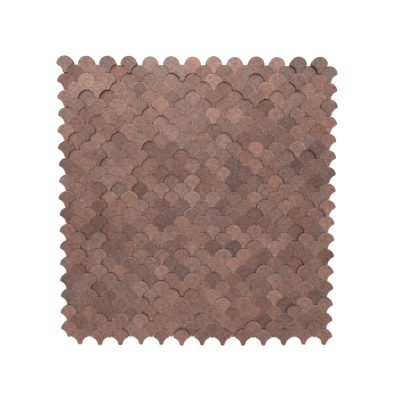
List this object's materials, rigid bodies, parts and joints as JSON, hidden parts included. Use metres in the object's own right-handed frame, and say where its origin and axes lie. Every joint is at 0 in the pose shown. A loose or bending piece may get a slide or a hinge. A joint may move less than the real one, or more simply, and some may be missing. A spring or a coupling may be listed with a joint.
{
  "type": "self-adhesive metal mosaic tile",
  "caption": "Flat mosaic sheet of fish-scale brushed metal chips, laid in half bond and in several thicknesses on an adhesive backing that sticks to a wall.",
  "frame": {"origin": "middle of the sheet, on the adhesive face", "axes": "+Z out of the chips' faces, +Y towards the edge that the chips' round heads point to, +X along the rows"},
  "size_m": [0.2862, 0.2992, 0.0063],
  "materials": {
    "chip_metal": "brushed, satin",
    "adhesive": "matte foam"
  },
  "bodies": {
    "root": {"adhesive_backing": "adhesive", "chip_row_01": "chip_metal", "chip_row_02": "chip_metal", "chip_row_03": "chip_metal", "chip_row_04": "chip_metal", "chip_row_05": "chip_metal", "chip_row_06": "chip_metal", "chip_row_07": "chip_metal", "chip_row_08": "chip_metal", "chip_row_09": "chip_metal", "chip_row_10": "chip_metal", "chip_row_11": "chip_metal", "chip_row_12": "chip_metal", "chip_row_13": "chip_metal", "chip_row_14": "chip_metal", "chip_row_15": "chip_metal", "chip_row_16": "chip_metal", "chip_row_17": "chip_metal", "chip_row_18": "chip_metal", "chip_row_19": "chip_metal", "chip_row_20": "chip_metal", "chip_row_21": "chip_metal", "chip_row_22": "chip_metal", "chip_row_23": "chip_metal", "chip_row_24": "chip_metal", "chip_row_25": "chip_metal", "chip_row_26": "chip_metal", "chip_row_27": "chip_metal", "chip_row_28": "chip_metal", "chip_row_29": "chip_metal", "chip_row_30": "chip_metal", "chip_row_31": "chip_metal", "chip_row_32": "chip_metal", "chip_row_33": "chip_metal", "chip_row_34": "chip_metal"}
  },
  "joints": []
}
